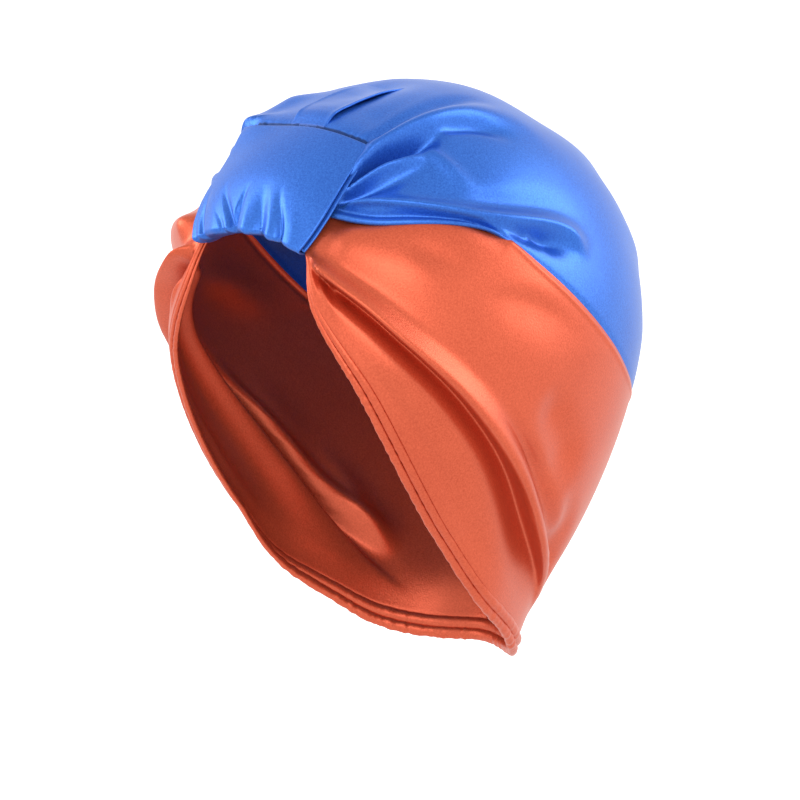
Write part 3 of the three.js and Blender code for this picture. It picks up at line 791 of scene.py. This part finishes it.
class Value:
    """An output socket that can stand in sums: each operation on it adds a Math node."""

    def __init__(self, finish, socket):
        self.finish = finish
        self.socket = socket

    def math(self, operation, first, second):
        return self.finish.node("ShaderNodeMath", {"operation": operation}, {0: first, 1: second})

    def __add__(self, other):
        return self.math("ADD", self, other)

    def __mul__(self, other):
        return self.math("MULTIPLY", self, other)

    def __sub__(self, other):
        return self.math("SUBTRACT", self, other)

    def __rsub__(self, other):
        return self.math("SUBTRACT", other, self)

    __radd__, __rmul__ = __add__, __mul__


class Finish:
    """The nodes of a material or of the surroundings."""

    def __init__(self, owner):
        owner.use_nodes = True
        self.owner = owner
        self.tree = owner.node_tree
        self.tree.nodes.clear()

    def attribute(self, name):
        """A number that each point of the piece carries."""
        return self.node("ShaderNodeAttribute", {"attribute_name": name}, {}, "Fac")

    def noise(self, scale, roughness=0.5):
        """Soft noise from 0 to 1, scale times a metre."""
        place = self.node("ShaderNodeTexCoord", {}, {}, "Object")
        values = {"Vector": place, "Scale": scale, "Roughness": roughness}
        return self.node("ShaderNodeTexNoise", {}, values)

    def step(self, value, low, high):
        """A smooth step of a value from 0 at low to 1 at high."""
        settings = {"interpolation_type": "SMOOTHSTEP"}
        return self.node("ShaderNodeMapRange", settings, {"Value": value, 1: low, 2: high})

    def blend(self, factor, first, second):
        """A colour mixed from two, with the factor kept between 0 and 1."""
        colors = {0: factor, 6: first, 7: second}
        return self.node("ShaderNodeMix", {"data_type": "RGBA"}, colors, 2)

    def surface(self, values):
        """Finishes the material with a Principled surface."""
        shader = self.node("ShaderNodeBsdfPrincipled", {}, values)
        self.node("ShaderNodeOutputMaterial", {}, {"Surface": shader})
        return self.owner

    def node(self, kind, settings, inputs, output=0):
        """Adds a node: its settings first, then the values or links of its sockets."""
        node = self.tree.nodes.new(kind)
        for key, value in settings.items():
            setattr(node, key, value)
        for key, value in inputs.items():
            if isinstance(value, Value):
                self.tree.links.new(value.socket, node.inputs[key])
            else:
                node.inputs[key].default_value = value
        return Value(self, node.outputs[output]) if node.outputs else node


def satin(name, shade, deep, roughness, metallic):
    """Dyed satin: fine uneven grain in colour, gloss and height over soft, broad variation, and a
    painted shade that darkens a thin line along the tab's seam.
    """
    finish = Finish(bpy.data.materials.new(name))
    grain = finish.noise(1500.0, roughness=0.6)
    broad = finish.noise(28.0)
    factor = 0.5 + (grain - 0.5) * 1.6 + (broad - 0.5) * 0.5
    color = finish.blend(factor, deep, shade)
    # Painted shade: line masks a thin dark band along the tab's seam, across the tab only, which
    # stands in for the seam's shadow.
    above = finish.attribute("above_seam") - PAINTED_SEAM_SHADE_PLACE
    line = (1 - finish.step(above * above, *PAINTED_SEAM_SHADE_FADE)) * finish.attribute("across_tab")
    painted_shadow_color = tuple(PAINTED_SEAM_SHADE_TONE * part for part in deep[:3]) + (1,)
    color = finish.blend(line * PAINTED_SEAM_SHADE_STRENGTH, color, painted_shadow_color)
    rough = roughness + (grain - 0.5) * 0.1
    threads = {"Strength": 0.25, "Distance": 0.0003, "Height": grain}
    bump = finish.node("ShaderNodeBump", {}, threads)
    values = {"Base Color": color, "Roughness": rough, "Metallic": metallic, "Normal": bump}
    return finish.surface(values)


def pale(name, color):
    """A matt pale surface with a trace of unevenness."""
    finish = Finish(bpy.data.materials.new(name))
    rough = 0.85 + (finish.noise(6.0) - 0.5) * 0.1
    values = {"Base Color": color, "Roughness": rough, "Specular IOR Level": 0.1}
    values.update({"Emission Color": (1, 1, 1, 1), "Emission Strength": 0.45})
    return finish.surface(values)


def add_piece(sizes, name, parts, dye, node):
    """Makes a piece of blue or orange satin, in place of the solid that it stands for."""
    piece = make_piece(name, parts)
    cloth = bpy.data.materials.get(f"{dye} satin")
    if cloth is None:
        shade, deep = tuple(getattr(sizes, dye)), tuple(getattr(sizes, f"{dye}_deep"))
        cloth = satin(f"{dye} satin", shade, deep, sizes.roughness, sizes.metallic)
    piece.data.materials.append(cloth)
    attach(piece, "root")
    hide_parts(node)
    return piece


# ---- Properties ----


LENGTH = {"unit": "LENGTH", "min": 0.0}
SHARE = {"subtype": "FACTOR", "min": 0.0, "max": 1.0}
ANGLE = {"subtype": "ANGLE"}
COLOR = {"subtype": "COLOR", "size": 4}


def number(name, description, default, kind):
    return bpy.props.FloatProperty(name=name, description=description, default=default, **kind)


def tint(name, description, *color):
    values = {"name": name, "description": description, "default": (*color, 1)}
    return bpy.props.FloatVectorProperty(**values, **COLOR)


class SleepCapSizes(bpy.types.PropertyGroup):
    """Sizes and colours of the cap."""

    cloth: number("Cloth", "Thickness of a panel: satin and its backing", 1.6 * MM, LENGTH)
    hem_width: number("Hem", "Half width of the turned hem along the cloth", 1.9 * MM, LENGTH)
    casing_width: number("Casing", "Half width of the casing along the cloth", 1.8 * MM, LENGTH)
    puckers: number("Puckers", "How much the casing's gathers swell and narrow it", 0.07, SHARE)
    blue: tint("Blue", "Blue satin", 0.044, 0.19, 0.68)
    blue_deep: tint("Deep blue", "Blue satin between its threads", 0.015, 0.086, 0.43)
    orange: tint("Orange", "Orange satin", 0.70, 0.125, 0.055)
    orange_deep: tint("Deep orange", "Orange satin between its threads", 0.49, 0.066, 0.026)
    roughness: number("Roughness", "Roughness of the satin's gloss", 0.35, SHARE)
    metallic: number("Dyed gloss", "Share of the gloss that takes the dye's colour", 0.6, SHARE)


class SleepCapStage(bpy.types.PropertyGroup):
    """Floor and camera."""

    floor_depth: number("Floor", "Depth of the floor below the head's top", 0.36, LENGTH)
    azimuth: number("Azimuth", "Angle from the face to the left", np.radians(45), ANGLE)
    elevation: number("Elevation", "Angle above the horizon", np.radians(8), ANGLE)
    distance: number("Distance", "Distance of the camera from the cap", 1.5, LENGTH)
    lens: number("Lens", "Focal length on a 36 mm sensor", 175.5, {"unit": "CAMERA"})


# ---- Operators ----


class SLEEPCAP_OT_crown(bpy.types.Operator):
    """Build the blue crown"""

    bl_idname = "sleepcap.crown"
    bl_label = "Crown"

    def execute(self, context):
        sizes = context.scene.sleep_cap
        piece = add_piece(sizes, "crown_satin", crown_skin(sizes.cloth / MM), "blue", "crown")
        pleat = add_piece(sizes, "crown_pleat", pleat_skin(1.0), "blue", "crown")
        return {"FINISHED"}


class SLEEPCAP_OT_side_panels(bpy.types.Operator):
    """Build the two orange side panels with the turned hem and the elastic casing"""

    bl_idname = "sleepcap.side_panels"
    bl_label = "Side panels, hem and casing"

    def execute(self, context):
        sizes = context.scene.sleep_cap
        parts = roll_skin(sizes.hem_width / MM, 1.4, below=2.2, depth=1.2, puckers=0.03)
        hem = add_piece(sizes, "hem_satin", parts, "orange", "hem_roll")
        width = sizes.casing_width / MM
        parts = roll_skin(width, 1.3, below=5.7, depth=2.2, puckers=sizes.puckers)
        casing = add_piece(sizes, "casing_satin", parts, "orange", "elastic_casing")
        for side, hand in (("left", 1), ("right", -1)):
            parts, node = panel_skin(hand, sizes.cloth / MM), f"side_panel_{side}"
            piece = add_piece(sizes, f"side_panel_satin_{side}", parts, "orange", node)
        return {"FINISHED"}


class SLEEPCAP_OT_front_tab(bpy.types.Operator):
    """Build the gathered tab at the forehead"""

    bl_idname = "sleepcap.front_tab"
    bl_label = "Front tab"

    def execute(self, context):
        sizes = context.scene.sleep_cap
        piece = add_piece(sizes, "front_tab_satin", tab_skin(1.2), "blue", "front_tab")
        strip = tab_skin(0.8, low=0.9, high=1.035, drop=1.9, gathered=0.0, columns=12)
        facing = add_piece(sizes, "front_tab_facing", strip, "blue", "front_tab")
        return {"FINISHED"}


# ---- Stage ----

# The surrounding's light, what it gains on a level, and what it loses overhead.
SKY, SKY_LEVEL, SKY_OVERHEAD = 1.17, 0.08, 0.4
FLOOR_RADII, FLOOR_SIDES = (0.3, 0.9, 3.0, 9.0, 20.0), 96
# The point that the camera circles, and how far to the right and below it the camera aims.
CAMERA_CENTRE = Vector((0, -0.004, -0.101))
AIM_RIGHT, AIM_DOWN = 0.0031, 0.02
# Each light's name, azimuth and power in watts, and where they all stand.
LIGHTS = [("front", 45, 8), ("left", -50, 13), ("right", 140, 11)]
LIGHT_ELEVATION, LIGHT_DISTANCE, LIGHT_WIDTH = 24, 1.6, 1.0


def studio_world():
    """A white surrounding, a little brighter on a level and softer overhead."""
    sky = Finish(bpy.data.worlds.new("surrounding"))
    place = sky.node("ShaderNodeTexCoord", {}, {}, "Generated")
    height = sky.node("ShaderNodeSeparateXYZ", {}, {"Vector": place}, "Z")
    wall = sky.step(height, -0.5, 0.1)
    roof = sky.step(height, 0.3, 0.9)
    strength = SKY + wall * (SKY_LEVEL - SKY_OVERHEAD * roof)
    light = sky.node("ShaderNodeBackground", {}, {"Color": (1, 1, 1, 1), "Strength": strength})
    sky.node("ShaderNodeOutputWorld", {}, {"Surface": light})
    return sky.owner


class SLEEPCAP_OT_stage(bpy.types.Operator):
    """Add the floor, the lights and the camera"""

    bl_idname = "sleepcap.stage"
    bl_label = "Stage"

    def execute(self, context):
        scene = context.scene
        stage = scene.sleep_cap_stage
        self.add_floor(stage)
        self.add_camera(scene, stage)
        self.add_lights(scene)
        return {"FINISHED"}

    def add_floor(self, stage):
        """A wide round floor: rings of points at growing radii."""
        turn = np.linspace(0, 2 * np.pi, FLOOR_SIDES, endpoint=False)
        radii = np.array(FLOOR_RADII)[:, None]
        z = np.full((len(radii), FLOOR_SIDES), -stage.floor_depth)
        points = np.stack([radii * np.cos(turn), radii * np.sin(turn), z], axis=-1)
        faces = quads(*z.shape, ring_columns=True).tolist() + [list(range(FLOOR_SIDES))]
        mesh = bpy.data.meshes.new("floor")
        mesh.from_pydata(points.reshape(-1, 3).tolist(), [], faces)
        floor = add_object("floor", mesh)
        mesh.materials.append(pale("pale floor", (0.93, 0.93, 0.93, 1)))
        floor.visible_diffuse = False
        floor.visible_glossy = False

    def add_camera(self, scene, stage):
        """The camera looks from in front of the wearer's left, slightly down."""
        azimuth, elevation = np.degrees(stage.azimuth), np.degrees(stage.elevation)
        back = Vector(direction(azimuth, elevation))
        right = Vector(direction(azimuth + 90, 0))
        up = back.cross(right)
        aim = CAMERA_CENTRE + right * AIM_RIGHT - up * AIM_DOWN
        camera = bpy.data.cameras.new("camera")
        camera.lens = stage.lens
        scene.camera = add_object("camera", camera, CAMERA_CENTRE + back * stage.distance, aim)

    def add_lights(self, scene):
        """A white surrounding, and soft lights over the camera and at both sides."""
        centre = Vector((0, 0, -0.1))
        for name, azimuth, power in LIGHTS:
            light = bpy.data.lights.new(f"{name} softbox", "AREA")
            light.size = LIGHT_WIDTH
            light.energy = power
            place = centre + Vector(direction(azimuth, LIGHT_ELEVATION)) * LIGHT_DISTANCE
            add_object(light.name, light, place, centre)
        scene.world = studio_world()
        scene.view_settings.view_transform = "Standard"


class SLEEPCAP_PT_panel(bpy.types.Panel):
    """Lists the cap's pieces in the sidebar"""

    bl_label = "Sleep cap"
    bl_idname = "SLEEPCAP_PT_panel"
    bl_space_type = "VIEW_3D"
    bl_region_type = "UI"
    bl_category = "Sleep Cap"

    def draw(self, context):
        for group in (context.scene.sleep_cap, context.scene.sleep_cap_stage):
            column = self.layout.column(align=True)
            for name in group.__annotations__:
                column.prop(group, name)
        for operator in OPERATORS:
            self.layout.operator(operator.bl_idname)


OPERATORS = (
    SLEEPCAP_OT_crown,
    SLEEPCAP_OT_side_panels,
    SLEEPCAP_OT_front_tab,
    SLEEPCAP_OT_stage,
)
CLASSES = (SleepCapSizes, SleepCapStage) + OPERATORS + (SLEEPCAP_PT_panel,)


def register():
    for cls in CLASSES:
        bpy.utils.register_class(cls)
    bpy.types.Scene.sleep_cap = bpy.props.PointerProperty(type=SleepCapSizes)
    bpy.types.Scene.sleep_cap_stage = bpy.props.PointerProperty(type=SleepCapStage)


def unregister():
    del bpy.types.Scene.sleep_cap_stage
    del bpy.types.Scene.sleep_cap
    for cls in reversed(CLASSES):
        bpy.utils.unregister_class(cls)


def main():
    """Builds the cap and its stage."""
    register()
    bpy.ops.sleepcap.crown()
    bpy.ops.sleepcap.side_panels()
    bpy.ops.sleepcap.front_tab()
    bpy.ops.sleepcap.stage()


if __name__ == "__main__":
    main()
